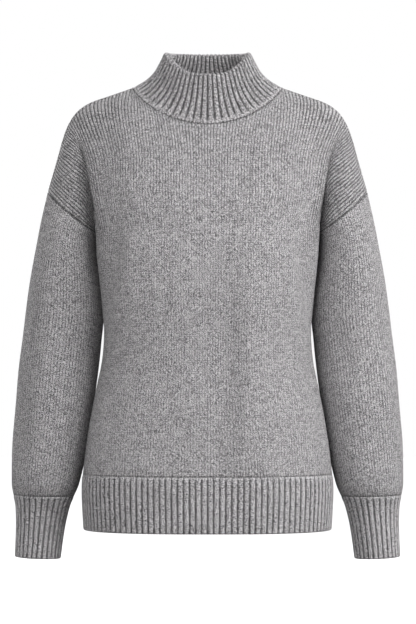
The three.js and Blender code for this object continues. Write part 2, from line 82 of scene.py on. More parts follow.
# outer edge across and height, inner edge across and height, middle depth, half depth
armRows = [
    (241, -190, 160.5, -221, 13, 64), (249, -228, 160.8, -243, 14, 67), (256.5, -268, 156.2, -272, 15, 67),
    (264.5, -325, 150.6, -326, 16, 65), (269.8, -368, 154.2, -368, 16, 63), (275, -415, 159.8, -415, 15, 62),
    (279.7, -470, 166.8, -470, 13, 60), (284, -530, 176, -530, 10, 57), (284.6, -572, 185.6, -572, 7, 52),
    (281.6, -590, 194, -592, 6, 45), (278.6, -604, 200, -606, 5, 38.5), (277.4, -628, 206, -630, 4, 35.5),
    (278, -654, 210.3, -656, 3, 34.5), (279.2, -679, 213.5, -682, 2, 35)]
cuffStart = 9  # the row of armRows where the cuff begins


def easeStep(x, low, high):
    t = np.clip((np.asarray(x, float) - low) / (high - low), 0, 1)
    return t * t * (3 - 2 * t)


def bump(x, middle, reach):
    return np.exp(-((np.asarray(x, float) - middle) / reach) ** 2)


def unit(vectors):
    return vectors / np.maximum(np.linalg.norm(vectors, axis=-1, keepdims=True), 1e-9)


def smoothRows(stops, rows, at):
    # cubic Hermite spans through a table's rows
    stops, rows, at = np.asarray(stops, float), np.asarray(rows, float), np.asarray(at, float)
    last = len(stops) - 1
    before, after = np.maximum(np.arange(last + 1) - 1, 0), np.minimum(np.arange(last + 1) + 1, last)
    spread = (stops[after] - stops[before]).reshape(-1, *[1] * (rows.ndim - 1))
    slopes = (rows[after] - rows[before]) / spread
    k = np.clip(np.searchsorted(stops, at, side="left") - 1, 0, last - 1)
    span = (stops[k + 1] - stops[k]).reshape(at.shape + (1,) * (rows.ndim - 1))
    t = (at - stops[k]).reshape(span.shape) / span
    bend = slopes[k] * span * t * (1 - t) ** 2 - slopes[k + 1] * span * (1 - t) * t ** 2
    return rows[k] + (rows[k + 1] - rows[k]) * t * t * (3 - 2 * t) + bend


def lengthsAlong(lines):
    # distance down each column of points from its first row
    steps = np.linalg.norm(np.diff(lines, axis=0), axis=-1)
    return np.concatenate([np.zeros((1,) + steps.shape[1:]), np.cumsum(steps, axis=0)])


def atLengths(lines, lengths, wanted):
    # points of each column at the wanted distances down it
    place = lambda c, k: np.interp(wanted[:, c], lengths[:, c], lines[:, c, k])
    return np.stack([np.stack([place(c, k) for k in range(3)], -1) for c in range(lines.shape[1])], 1)


def splineDown(guides, at):
    # centripetal spline through guides[k, column], read at at[row, column] counted in guides
    last = len(guides) - 1
    padded = np.concatenate([[2 * guides[0] - guides[1]], guides, [2 * guides[-1] - guides[-2]]])
    k = np.clip(np.floor(at).astype(int), 0, last - 1)
    t = (at - k)[..., None]
    column = np.arange(guides.shape[1])[None, :]
    p0, p1, p2, p3 = (padded[k + i, column] for i in range(4))
    d0, d1, d2 = (np.maximum(np.linalg.norm(b - a, axis=-1), 1e-3)[..., None] ** 0.5
                  for a, b in ((p0, p1), (p1, p2), (p2, p3)))
    m1 = ((p1 - p0) / d0 - (p2 - p0) / (d0 + d1) + (p2 - p1) / d1) * d1
    m2 = ((p2 - p1) / d1 - (p3 - p1) / (d1 + d2) + (p3 - p2) / d2) * d1
    return p1 + m1 * t + (3 * (p2 - p1) - 2 * m1 - m2) * t ** 2 + (2 * (p1 - p2) + m1 + m2) * t ** 3


def neckLine(turn):
    # turn runs from 0 at the front middle through the wearer's left side to the back
    n = neckBase
    lean, isBack = np.abs(np.cos(turn)), (np.cos(turn) < 0).astype(int)
    depth, drop = np.array(n["depth"])[isBack], np.array(n["drop"])[isBack]
    return np.stack([n["halfWidth"] * np.sin(turn), depth * lean, -drop * lean ** n["dropPower"]], -1)


def panelTop(isBack, wale):
    # the neck seam up to the neck point, then the shoulder line
    n = neckBase
    angles = np.linspace(0, math.pi / 2, n["steps"])
    shares = n["evenShare"] * angles / (math.pi / 2) + (1 - n["evenShare"]) * np.sin(angles)
    turn = np.interp(wale, n["edgeWale"] * shares, angles)
    neck = neckLine(math.pi - turn if isBack else turn)
    shoulder = smoothRows([row[0] for row in shoulderLine], [row[1:] for row in shoulderLine], wale)
    return np.where((wale > n["edgeWale"])[:, None], shoulder, neck)


def torsoLine(height, isBack, wale):
    # a torso section from the middle of one face to the side seam, at even shares of its length
    f = torsoForm
    halfWidth, front, back, tuck = smoothRows(
        [-row[0] for row in torsoRows], [row[1:] for row in torsoRows], -height)
    face = 1 if isBack else -1
    power = 2 / f["squareness"]
    angle = np.linspace(0, math.pi, f["steps"])
    lean = np.cos(angle) * face
    depth = np.sign(lean) * np.where(lean < 0, front, back) * np.abs(lean) ** power
    across = (halfWidth - tuck * bump(depth, f["tuckDepth"], f["tuckReach"])) * np.sin(angle) ** power
    end = int(np.argmax((depth - f["sideSeam"]) * face < 0))
    share = (f["sideSeam"] - depth[end - 1]) / (depth[end] - depth[end - 1])
    points = np.stack([across, depth], -1)[:end + 1]
    points[-1] = points[-2] + share * (points[-1] - points[-2])
    reach = lengthsAlong(points)
    place = [np.interp(wale * reach[-1], reach, points[:, k]) for k in range(2)]
    return np.stack([*place, np.full_like(wale, height)], -1)


shoulderTip = np.array(shoulderLine[-1][1:], float)
underarm = torsoLine(torsoRows[0][0], False, np.ones(1))[0]
armholeMiddle = (shoulderTip + underarm) / 2


def armholeLine(angle):
    # angle is 0 at the shoulder tip and pi at the underarm, positive towards the back
    line = armholeMiddle + np.cos(angle)[:, None] * (shoulderTip - armholeMiddle)
    line[:, 1] += armhole["halfDepth"] * np.sin(angle)
    line[:, 2] -= armhole["sag"] * np.sin(angle) ** 2
    return line


# soft folds of the body: across and height of one end, the same of the other end, rise or
# fall, reach towards the wearer's right, reach towards the left
bodyFolds = {
    "front": [
        (-108, -215, -139, -378, 7, 6, 30), (-127, -225, -150, -352, -13, 16, 8),  # bust to waist, right
        (112, -215, 143, -390, 8, 30, 7), (131, -235, 149, -350, -10, 7, 14),  # bust to waist, left
        (62, -180, 60, -590, 11, 25, 60), (-18, -340, -20, -545, 2, 24, 24),  # long ones down the belly
        (-66, -158, -36, -168, 4, 40, 40), (106, -160, 118, -170, 3.5, 28, 28),  # the bust
        (-118, -214, -48, -208, -3, 15, 15), (14, -200, 76, -212, -3, 16, 16)],  # below the bust
    "back": [
        (-108, -240, -140, -392, 5, 17, 17), (118, -228, 138, -360, 4, 16, 16),
        (34, -330, 50, -600, -3.5, 22, 22), (-46, -360, -62, -590, -3, 20, 20)]}
bodyFoldForm = {
    "fadeDepths": (10, 42),  # folds fade out towards the side seam
    "endShare": 0.35,  # what is left of a fold at its two ends
    "besideStart": (-110, -80), "besideEnd": (-215, -190),  # heights of the hollow beside the chest
    "hollowDepth": 8.5, "hollowWale": 0.755, "hollowReach": 0.03,
    "edgeRise": 2.2, "edgeWale": 0.67, "edgeReach": 0.035,  # the chest's edge before that hollow
    "wave": 0.5, "waveAcross": 23, "waveSlant": 31, "waveDown": 37, "waveStart": 1.3}


def foldBody(points, isBack, wale):
    f = bodyFoldForm
    here = points[..., [0, 2]]
    across, height = here[..., 0], here[..., 1]
    lift = np.zeros(points.shape[:-1])
    for x0, z0, x1, z1, rise, rightReach, leftReach in bodyFolds["back" if isBack else "front"]:
        start, run = np.array([x0, z0], float), np.array([x1 - x0, z1 - z0], float)
        along = np.clip(((here - start) @ run) / (run @ run), 0, 1)
        away = here - start - along[..., None] * run
        toRight = away[..., 1] * run[0] - away[..., 0] * run[1] < 0
        reach = np.where(toRight, rightReach, leftReach)
        share = f["endShare"] + (1 - f["endShare"]) * np.sin(math.pi * along)
        lift += rise * share * bump(np.linalg.norm(away, axis=-1), 0, reach)
    if not isBack:
        beside = easeStep(height, *f["besideEnd"]) * (1 - easeStep(height, *f["besideStart"]))
        lift -= f["hollowDepth"] * bump(np.abs(wale), f["hollowWale"], f["hollowReach"]) * beside
        lift += f["edgeRise"] * bump(np.abs(wale), f["edgeWale"], f["edgeReach"]) * beside
    # a slow unevenness, so that no broad surface is quite smooth
    slanting = np.sin(across / f["waveAcross"] + height / f["waveSlant"])
    lift += f["wave"] * slanting * np.sin(height / f["waveDown"] + f["waveStart"])
    folded = points.copy()
    folded[..., 1] += (1 if isBack else -1) * lift * easeStep(np.abs(points[..., 1]), *f["fadeDepths"])
    return folded


# soft folds of the sleeves, by side (1 is the wearer's left, -1 the right): share round the sleeve (0 outer,
# 0.25 front, 0.5 inner, 0.75 back), share down it, slant, rise or fall, reach round it
sleeveFolds = {
    1: [(0.20, 0.30, 0.10, 2.2, 0.05), (0.30, 0.52, -0.16, -2.6, 0.045), (0.13, 0.60, 0.14, 2.4, 0.05),
        (0.22, 0.80, 0.20, -2.2, 0.05), (0.80, 0.45, -0.15, 2.5, 0.05), (0.70, 0.62, 0.15, -2.8, 0.05),
        (0.85, 0.78, 0.12, 2.2, 0.05)],
    -1: [(0.17, 0.36, 0.12, 2.4, 0.05), (0.29, 0.47, -0.14, -2.2, 0.045), (0.20, 0.58, -0.16, 2.6, 0.045),
         (0.12, 0.74, 0.16, -2.4, 0.05), (0.78, 0.38, 0.15, 2.4, 0.05), (0.72, 0.55, -0.13, -2.6, 0.05),
         (0.86, 0.72, -0.12, 2.2, 0.05)]}
sleeveFoldForm = {"reachDown": 0.13, "fadeIn": (0.02, 0.12), "fadeOut": (0.93, 1),
                  "wave": 0.5, "waveSlant": 9, "waveDown": 17}


# meshes
class Shell:
    # gathers the faces of one closed piece of cloth, with the knit's own coordinates at each corner
    def __init__(self):
        self.points, self.outward, self.wale, self.lift = [], [], [], []
        self.faces, self.knit = {3: [], 4: []}, {3: [], 4: []}
        self.count = 0

    def grid(self, points, outward, wale, lift, course, depth, tube):
        # a grid's vertices; on a tube the last column is the first one again
        rows, columns = points.shape[:2]
        kept = columns - 1 if tube else columns
        ids = self.count + np.arange(rows)[:, None] * kept + (np.arange(columns) % kept)[None, :]
        wale, lift, course, depth = (np.broadcast_to(v, (rows, columns)) for v in (wale, lift, course, depth))
        for store, values in ((self.points, points), (self.outward, outward)):
            store.append(values[:, :kept].reshape(-1, 3))
        for store, values in ((self.wale, wale), (self.lift, lift)):
            store.append(values[:, :kept].reshape(-1))
        self.count += rows * kept
        return ids, np.stack([wale, course, depth], -1)

    def add(self, *corners):
        ids, knit = np.stack([c[0] for c in corners], -1), np.stack([c[1] for c in corners], -2)
        self.faces[len(corners)].append(ids.reshape(-1, len(corners)))
        self.knit[len(corners)].append(knit.reshape(-1, len(corners), 3))

    def fill(self, sheet, flip):
        ids, knit = sheet
        part = lambda rows, columns: (ids[rows, columns], knit[rows, columns])
        low, high = slice(None, -1), slice(1, None)
        corners = [part(low, low), part(high, low), part(high, high), part(low, high)]
        self.add(*(corners[::-1] if flip else corners))

    def join(self, fine, coarse, flip):
        # strip between an edge and one with as many points or fewer
        step = (len(fine[0]) - 1) // (len(coarse[0]) - 1)
        pick = lambda edge, index: (edge[0][index], edge[1][index])
        i, k = np.arange(len(fine[0]) - 1), np.arange(len(coarse[0]) - 1)
        fans = [[pick(fine, i), pick(fine, i + 1), pick(coarse, i // step)],
                [pick(fine, (k + 1) * step), pick(coarse, k + 1), pick(coarse, k)]]
        for fan in fans:
            self.add(*(fan[::-1] if flip else fan))

    def close(self, outer, inner, tube):
        # joins the edges of the outer and inner sheets; a tube has only its first and last rows
        every = slice(None)
        edges = [(0, every, False), (-1, every, True)]
        if not tube:
            edges += [(every, 0, True), (every, -1, False)]
        for row, column, flip in edges:
            self.join(*[(ids[row, column], knit[row, column]) for ids, knit in (outer, inner)], flip)

    def build(self, name, material):
        faces, sizes, knit = [], [], []
        for size in (4, 3):
            block = np.concatenate(self.faces[size])
            faces.append(block.reshape(-1))
            sizes.append(np.full(len(block), size))
            knit.append(np.concatenate(self.knit[size]).reshape(-1, 3))
        loops, sizes, knit = np.concatenate(faces), np.concatenate(sizes), np.concatenate(knit)
        points = np.concatenate(self.points) * mm
        starts = np.concatenate([[0], np.cumsum(sizes)[:-1]])
        mesh = bpy.data.meshes.new(name)
        mesh.vertices.add(len(points))
        mesh.vertices.foreach_set("co", points.ravel().astype(np.float32))
        mesh.loops.add(len(loops))
        mesh.loops.foreach_set("vertex_index", loops.astype(np.int32))
        mesh.polygons.add(len(sizes))
        mesh.polygons.foreach_set("loop_start", starts.astype(np.int32))
        mesh.polygons.foreach_set("use_smooth", np.ones(len(sizes), bool))
        mesh.update(calc_edges=True)
        for title, kind, domain, values in (
                ("outward", "FLOAT_VECTOR", "POINT", np.concatenate(self.outward)),
                ("wale", "FLOAT", "POINT", np.concatenate(self.wale)),
                ("lift", "FLOAT", "POINT", np.concatenate(self.lift)),
                ("knit", "FLOAT_VECTOR", "CORNER", knit)):
            layer = mesh.attributes.new(title, kind, domain)
            field = "vector" if values.ndim == 2 else "value"
            layer.data.foreach_set(field, values.ravel().astype(np.float32))
        mesh.materials.append(material)
        piece = bpy.data.objects.new(name, mesh)
        bpy.context.scene.collection.objects.link(piece)
        return piece


def gridNormals(points, tube, outward):
    # outward directions of a grid; outward is a rough direction at its middle
    if tube:
        padded = np.concatenate([points[:, -2:-1], points, points[:, 1:2]], 1)
        across = padded[:, 2:] - padded[:, :-2]
    else:
        across = np.gradient(points, axis=1)
    normals = unit(np.cross(np.gradient(points, axis=0), across))
    column = 0 if tube else points.shape[1] // 2
    return normals * np.sign(normals[points.shape[0] // 2, column] @ np.array(outward, float))


def meshVolume(piece):
    mesh = piece.data
    mesh.calc_loop_triangles()
    points, corners = np.zeros(len(mesh.vertices) * 3), np.zeros(len(mesh.loop_triangles) * 3, int)
    mesh.vertices.foreach_get("co", points)
    mesh.loop_triangles.foreach_get("vertices", corners)
    a, b, c = points.reshape(-1, 3)[corners.reshape(-1, 3)].transpose(1, 0, 2)
    return float(np.einsum("ij,ij->i", a, np.cross(b, c)).sum() / 6)


# node trees
class Nodes:
    # one maker for every node: its type, then its settings, then its sockets' values or links
    def __init__(self, tree):
        self.tree = tree

    def make(self, kind, settings=None, sockets=None):
        node = self.tree.nodes.new(kind)
        for key, value in (settings or {}).items():
            setattr(node, key, value)
        for key, value in (sockets or {}).items():
            if isinstance(value, Value):
                value = value.socket
            if isinstance(value, bpy.types.NodeSocket):
                self.tree.links.new(value, node.inputs[key])
            else:
                node.inputs[key].default_value = value
        return node

    def value(self, kind, settings=None, sockets=None, output=0):
        return Value(self, self.make(kind, settings, sockets).outputs[output])


class Value:
    # a number's socket that takes part in plain expressions
    def __init__(self, nodes, socket):
        self.nodes, self.socket = nodes, socket

    def math(self, operation, other=None):
        sockets = {0: self} if other is None else {0: self, 1: other}
        return self.nodes.value("ShaderNodeMath", {"operation": operation}, sockets)

    def turned(self, operation, other):
        return self.nodes.value("ShaderNodeMath", {"operation": operation}, {0: other, 1: self})

    def __add__(self, other):
        return self.math("ADD", other)

    def __radd__(self, other):
        return self.turned("ADD", other)

    def __sub__(self, other):
        return self.math("SUBTRACT", other)

    def __rsub__(self, other):
        return self.turned("SUBTRACT", other)

    def __mul__(self, other):
        return self.math("MULTIPLY", other)

    def __rmul__(self, other):
        return self.turned("MULTIPLY", other)

    def __pow__(self, other):
        return self.math("POWER", other)

    def __abs__(self):
        return self.math("ABSOLUTE")

    def fraction(self):
        return self.math("FRACT")

    def whole(self):
        return self.math("FLOOR")

    def sine(self):
        return self.math("SINE")

    def within(self):
        # kept between 0 and 1
        return self.math("MAXIMUM", 0.0).math("MINIMUM", 1.0)


def nodeTree(name, inputs):
    # a Geometry Nodes tree with named inputs, and its maker, group input and group output
    tree = bpy.data.node_groups.new(name, "GeometryNodeTree")
    tree.interface.new_socket("Geometry", in_out="INPUT", socket_type="NodeSocketGeometry")
    tree.interface.new_socket("Geometry", in_out="OUTPUT", socket_type="NodeSocketGeometry")
    for title, kind in inputs.items():
        tree.interface.new_socket(title, in_out="INPUT", socket_type="NodeSocket" + kind)
    nodes = Nodes(tree)
    return nodes, nodes.make("NodeGroupInput"), nodes.make("NodeGroupOutput")


def finishTree(nodes, given, result, geometry):
    real = nodes.make("GeometryNodeRealizeInstances", sockets={"Geometry": geometry})
    dressed = nodes.make("GeometryNodeSetMaterial", sockets={
        "Geometry": real.outputs["Geometry"], "Material": given.outputs["Material"]})
    nodes.tree.links.new(dressed.outputs["Geometry"], result.inputs["Geometry"])
    return nodes.tree


def applyTree(piece, tree, values):
    # runs the tree on a piece and leaves it a plain mesh without the modifier
    modifier = piece.modifiers.new(tree.name, "NODES")
    modifier.node_group = tree
    sockets = {item.name: item.identifier for item in tree.interface.items_tree if item.in_out == "INPUT"}
    for title, value in values.items():
        modifier[sockets[title]] = value
    mesh = bpy.data.meshes.new_from_object(piece.evaluated_get(bpy.context.evaluated_depsgraph_get()))
    piece.modifiers.remove(modifier)
    piece.data = mesh
    mesh.name = piece.name
    for title in ("outward", "wale", "lift"):
        if title in mesh.attributes:
            mesh.attributes.remove(mesh.attributes[title])
    return piece


def namedAttribute(nodes, title, kind):
    return nodes.make("GeometryNodeInputNamedAttribute", {"data_type": kind}, {"Name": title}).outputs[0]


def ribTree():
    # raises rounded columns along the cloth, one for each whole number of the wale attribute
    nodes, given, result = nodeTree("ribRelief", {
        "Crest height": "Float", "Crest roundness": "Float", "Material": "Material"})
    wale, lift = (Value(nodes, namedAttribute(nodes, title, "FLOAT")) for title in ("wale", "lift"))
    crest = abs((wale * math.pi).sine()) ** given.outputs["Crest roundness"]
    height = crest * lift * given.outputs["Crest height"]
    offset = nodes.make("ShaderNodeVectorMath", {"operation": "SCALE"}, {
        0: namedAttribute(nodes, "outward", "FLOAT_VECTOR"), "Scale": height})
    moved = nodes.make("GeometryNodeSetPosition", sockets={
        "Geometry": given.outputs["Geometry"], "Offset": offset.outputs[0]})
    return finishTree(nodes, given, result, moved.outputs[0])


def linkTree():
    # lays small slanting stitches along a seam
    nodes, given, result = nodeTree("linkedSeam", {
        "Pitch": "Float", "Length": "Float", "Width": "Float", "Slant": "Float", "Material": "Material"})
    line = nodes.make("GeometryNodeMeshToCurve", sockets={"Mesh": given.outputs["Geometry"]})
    even = nodes.make("GeometryNodeResampleCurve", {"mode": "LENGTH"}, {
        "Curve": line.outputs[0], "Length": given.outputs["Pitch"]})
    tangent = nodes.make("GeometryNodeInputTangent")
    along = nodes.make("FunctionNodeAlignRotationToVector", {"axis": "X"}, {"Vector": tangent.outputs[0]})
    facing = nodes.make("FunctionNodeAlignRotationToVector", {"axis": "Z", "pivot_axis": "X"}, {
        "Rotation": along.outputs[0], "Vector": namedAttribute(nodes, "outward", "FLOAT_VECTOR")})
    # every other stitch slants the other way
    index = Value(nodes, nodes.make("GeometryNodeInputIndex").outputs[0])
    side = 1 - 2 * index.math("MODULO", 2)
    slant = nodes.make("ShaderNodeCombineXYZ", sockets={"Z": side * given.outputs["Slant"]})
    turn = nodes.make("FunctionNodeEulerToRotation", sockets={"Euler": slant.outputs[0]})
    turned = nodes.make("FunctionNodeRotateRotation", {"rotation_space": "LOCAL"}, {
        "Rotation": facing.outputs[0], "Rotate By": turn.outputs[0]})
    grain = nodes.make("GeometryNodeMeshUVSphere", sockets={"Segments": 6, "Rings": 4, "Radius": 0.5})
    smooth = nodes.make("GeometryNodeSetShadeSmooth", sockets={"Geometry": grain.outputs[0]})
    size = nodes.make("ShaderNodeCombineXYZ", sockets={
        "X": given.outputs["Length"], "Y": given.outputs["Width"], "Z": given.outputs["Width"]})
    laid = nodes.make("GeometryNodeInstanceOnPoints", sockets={
        "Points": even.outputs[0], "Instance": smooth.outputs[0],
        "Rotation": turned.outputs[0], "Scale": size.outputs[0]})
    return finishTree(nodes, given, result, laid.outputs[0])


# materials
def newMaterial(name, surface):
    # a material whose one shader comes from surface(nodes)
    material = bpy.data.materials.new(name)
    material.use_nodes = True
    material.node_tree.nodes.clear()
    nodes = Nodes(material.node_tree)
    nodes.make("ShaderNodeOutputMaterial", sockets={"Surface": surface(nodes).outputs[0]})
    return material


def knitSurface(nodes, look):
    knit = nodes.make("ShaderNodeAttribute", {"attribute_type": "GEOMETRY", "attribute_name": "knit"})
    parts = nodes.make("ShaderNodeSeparateXYZ", sockets={0: knit.outputs["Vector"]})
    # depth is how far the columns stand out, and below nought the painted shadow in a seam's groove
    wale, course, depth = (Value(nodes, parts.outputs[k]) for k in range(3))
    place = nodes.make("ShaderNodeTexCoord").outputs["Object"]

    def noise(vector, scale, detail, roughness):
        return nodes.value("ShaderNodeTexNoise", {"noise_dimensions": "3D"}, {
            "Vector": vector, "Scale": scale, "Detail": detail, "Roughness": roughness}, output="Fac")

    # each stitch is a V: its legs rise from the middle of the wale to its edges
    wander = (noise(place, look["wanderScale"], detail=1.0, roughness=0.5) - 0.5) * look["wander"]
    aside = abs((wale + wander).fraction() - 0.5) * 2
    row = course - aside * look["legRise"] + wander * 2
    loop = (row.fraction() * math.pi).sine() ** look["loopRound"]
    leg = (aside * math.pi).sine() ** look["legRound"]
    stitch = loop * (1 - look["legShare"] + look["legShare"] * leg)
    crest = 1 - aside ** look["grooveWidth"]
    # ribs scales the columns' bump and the painted shade in their grooves; seam is the painted shadow in a
    # seam's groove
    ribs, seam = depth.within(), (0 - depth).within()
    # the yarn is a melange: its stitches, fibres, flecks, clouds and sideways streaks differ in tone
    cell = nodes.make("ShaderNodeCombineXYZ", sockets={"X": (wale + wander).whole(), "Y": row.whole()})
    tone = nodes.value("ShaderNodeTexWhiteNoise", {"noise_dimensions": "3D"}, {
        "Vector": cell.outputs[0]}, output="Value")
    fibre = noise(place, look["fibreScale"], detail=3.0, roughness=0.7)
    fleck = noise(place, look["fleckScale"], detail=2.0, roughness=0.8)
    cloud = noise(place, look["cloudScale"], detail=2.0, roughness=0.5)
    run = nodes.make("ShaderNodeCombineXYZ", sockets={
        "X": wale * look["streakWales"], "Y": row * look["streakCourses"]})
    streak = noise(run.outputs[0], 1.0, detail=2.0, roughness=0.6)
    light = (fleck - look["lightFrom"]).within() * look["lightFleck"]
    dark = (look["darkFrom"] - fleck).within() * look["darkFleck"]
    # the last three terms are painted shade: in the grooves beside the columns, in the gaps between the
    # stitches and in a seam's groove
    shade = (look["base"] + (tone - 0.5) * look["stitchTone"] + (fibre - 0.5) * look["fibreTone"]
             + (cloud - 0.5) * look["cloudTone"] + (streak - 0.5) * look["streakTone"] + light - dark
             - (1 - crest) * ribs * look["grooveShade"] - (1 - stitch) * look["stitchShade"]
             - seam * look["seamShade"])
    colour = nodes.make("ShaderNodeMix", {"data_type": "RGBA"}, {
        "Factor": shade.within(), 6: (*look["darkYarn"], 1), 7: (*look["lightYarn"], 1)})
    height = stitch * look["stitchHeight"] + crest * ribs * look["crestHeight"] + fibre * look["fibreHeight"]
    relief = nodes.make("ShaderNodeBump", sockets={
        "Height": height, "Distance": look["reliefDistance"], "Strength": 1.0})
    return nodes.make("ShaderNodeBsdfPrincipled", sockets={
        "Base Color": colour.outputs[2], "Roughness": look["roughness"], "Normal": relief.outputs[0],
        "Specular IOR Level": 0.2, "Sheen Weight": look["sheen"], "Sheen Roughness": 0.5,
        "Sheen Tint": (1, 1, 1, 1)})


# base is the share of light yarn; each tone or fleck adds to it or takes from it, and each painted shade
# takes from it
plainLook = {
    "darkYarn": (0.060, 0.058, 0.060), "lightYarn": (0.66, 0.642, 0.654), "base": 0.75,
    "stitchTone": 0.26, "fibreTone": 6.6, "fibreScale": 820.0, "cloudTone": 0.10, "cloudScale": 34.0,
    "fleckScale": 950.0, "lightFrom": 0.60, "lightFleck": 7.5, "darkFrom": 0.40, "darkFleck": 7.0,
    "streakTone": 0.42, "streakWales": 0.14, "streakCourses": 0.62, "wander": 0.14, "wanderScale": 150.0,
    "legRise": 0.75, "legRound": 0.5, "legShare": 0.65, "loopRound": 0.6, "stitchShade": 0.55,
    "grooveWidth": 2.4, "grooveShade": 1.15, "seamShade": 1.2, "stitchHeight": 0.8, "crestHeight": 0.8,
    "fibreHeight": 0.9, "reliefDistance": 0.0009, "roughness": 0.95, "sheen": 0.12}
ribLook = dict(plainLook, base=0.92, grooveShade=1.25, grooveWidth=2.6, stitchTone=0.06, crestHeight=0.4,
               streakTone=0.06, fibreTone=8.5, fibreScale=760.0, fleckScale=900.0, stitchShade=0.7)
# the collar is the hem and cuffs' rib yarn made darker all over: painted shade
shadedCollarLook = dict(ribLook, base=0.72)
# the seam's stitches are nearly black: painted shade of the groove that they lie in
shadedSeamLook = dict(plainLook, base=0.02, grooveShade=0.0, stitchShade=0.0, crestHeight=0.0, stitchHeight=0.0)

plainKnit = newMaterial("plainKnit", lambda nodes: knitSurface(nodes, plainLook))
ribKnit = newMaterial("ribKnit", lambda nodes: knitSurface(nodes, ribLook))
shadedCollarKnit = newMaterial("shadedCollarKnit", lambda nodes: knitSurface(nodes, shadedCollarLook))
shadedSeamYarn = newMaterial("shadedSeamYarn", lambda nodes: knitSurface(nodes, shadedSeamLook))
ribRelief = ribTree()
linkedSeam = linkTree()
print("materials made")

# the edges of cloth along a linked seam
seamRows = [0, 0.7, 1.4, 2.2, 3.2, 4.4, 6.0]  # distances of the first rows from a seam
seamEdge = {"teeth": 0.55, "dipReach": 0.75, "ridgeAt": 3.0, "ridgeReach": 1.3, "shadow": 1.2,
            "shadowReach": 0.6}
sunkShare = 0.6  # how much of a column's height lies below the form's own surface
insideDepth = 0.3  # how far the columns show on a smooth inner face, in bump and in painted groove shade


def seamTeeth(columns):
    return seamEdge["teeth"] * (1 + np.cos(2 * math.pi * columns))


def seamShape(away, columns, dip, ridge):
    # the cloth sinks into a linked seam in small teeth, and the turned edge pushes it out beside it
    raised = ridge * bump(away, seamEdge["ridgeAt"], seamEdge["ridgeReach"])
    return raised - dip * bump(away, seamTeeth(columns), seamEdge["dipReach"])


def seamShadow(away, columns):
    # painted shadow in the seam's groove, kept in the same channel as the depth of the columns
    return seamEdge["shadow"] * bump(away, seamTeeth(columns), seamEdge["shadowReach"])


def finishPiece(shell, name, p, knit):
    # raises the piece's columns and turns its faces outwards
    piece = applyTree(shell.build(name, knit), ribRelief, {
        "Crest height": p["crest"] * mm, "Crest roundness": p["roundness"], "Material": knit})
    if meshVolume(piece) < 0:
        piece.data.flip_normals()
    return piece


def plainShell(name, p, points, outward, columns, course, lift, shape, shadow, tube):
    # plain knit: raised columns outside, and a coarser smooth face inside
    normals = gridNormals(points, tube, outward)
    columns = np.broadcast_to(columns, lift.shape)
    rise = p["crest"] * lift
    outer = points + normals * (shape - sunkShare * rise)[..., None]
    coarse = tuple(slice(None, None, step) for step in p["innerStep"])
    inner = (points - normals * (p["wall"] + p["backing"] * rise)[..., None])[coarse]
    shell = Shell()
    outerSheet = shell.grid(outer, normals, columns, lift, course, lift - shadow, tube)
    innerSheet = shell.grid(inner, -normals[coarse], columns[coarse], 0.0, course[coarse], insideDepth, tube)
    shell.fill(outerSheet, False)
    shell.fill(innerSheet, True)
    shell.close(outerSheet, innerSheet, tube)
    return finishPiece(shell, name, p, plainKnit)


# front and back panels; wales are counted from the middle of a panel to its side edge
bodyPanel = {
    "wales": 66.5, "waleWidth": 4.1, "perWale": 4, "courseHeight": 3.1, "wall": 2.8, "innerStep": (2, 8),
    "yokeRows": 54, "torsoRows": 78, "guideSteps": 161, "fineShares": 2001,
    # how the wales spread towards the neck, over the belly, at the chest's edge and on the drop shoulder
    "yokeSpread": 5.5, "yokeHeights": (-115, -15), "bellySpread": 3, "bellyHeights": (-300, -120),
    "edgeWales": -2.6, "edgeShares": (0.56, 0.76), "dropWales": 4.2, "dropShare": 0.78,
    "dropFade": (-330, -190),
    # how far the columns stand out, and the painted shade in their grooves: most over the shoulder, least
    # below the bust
    "crest": 0.55, "roundness": 0.7, "backing": 0.4, "bodyLift": 0.34, "chestLift": 0.30,
    "chestHeights": (-230, -70), "shoulderLift": 0.68, "shoulderHeights": (-95, -30),
    "shoulderShares": (0.40, 0.58), "dropLift": 0.85, "dropHeights": (-240, -195),
    "dropShares": (0.58, 0.70), "columnFade": (0.5, 3.5),
    # the seams at its top and at the armhole
    "seamDip": 1.5, "armDip": 0.7, "neckRidge": 0.8, "armRidge": 1.5, "ridgeHeights": (-150, -190),
    "armSeamHeights": (-225, -205)}


def waleCount(share, height):
    p = bodyPanel
    across = p["wales"] - p["yokeSpread"] * easeStep(height, *p["yokeHeights"])
    across = across - p["bellySpread"] * (1 - easeStep(height, *p["bellyHeights"]))
    extra = p["dropWales"] * np.clip((np.abs(share) - p["dropShare"]) / (1 - p["dropShare"]), 0, 1)
    extra = extra + p["edgeWales"] * easeStep(np.abs(share), *p["edgeShares"])
    return np.sign(share) * (across * np.abs(share) + extra * easeStep(height, *p["dropFade"]))


def mirrored(half, turn=1):
    # a whole grid from the half on the wearer's left; turn is what the mirror does to its values
    return np.concatenate([half[:, :0:-1] * turn, half], 1)


def panelGuides(isBack, wale):
    # lines across the panel: its top, the yoke's places, then the first sections of the torso
    wales = list(yokeWales)
    yoke = np.array(list(yokeWales.values()), float)[:, :, [0, 3 if isBack else 2, 1]]
    places = yoke.shape[1]
    edge = armholeLine(np.arange(1, places + 1) * math.pi / (places + 1) * (1 if isBack else -1))
    table = np.concatenate([yoke[1:2] * [-1, 1, 1], yoke, edge[None]])
    across = smoothRows([-wales[1], *wales, 1], table, wale).transpose(1, 0, 2)
    levels = [torsoLine(row[0], isBack, wale) for row in torsoRows[:3]]
    return np.stack([panelTop(isBack, wale), *across, *levels])


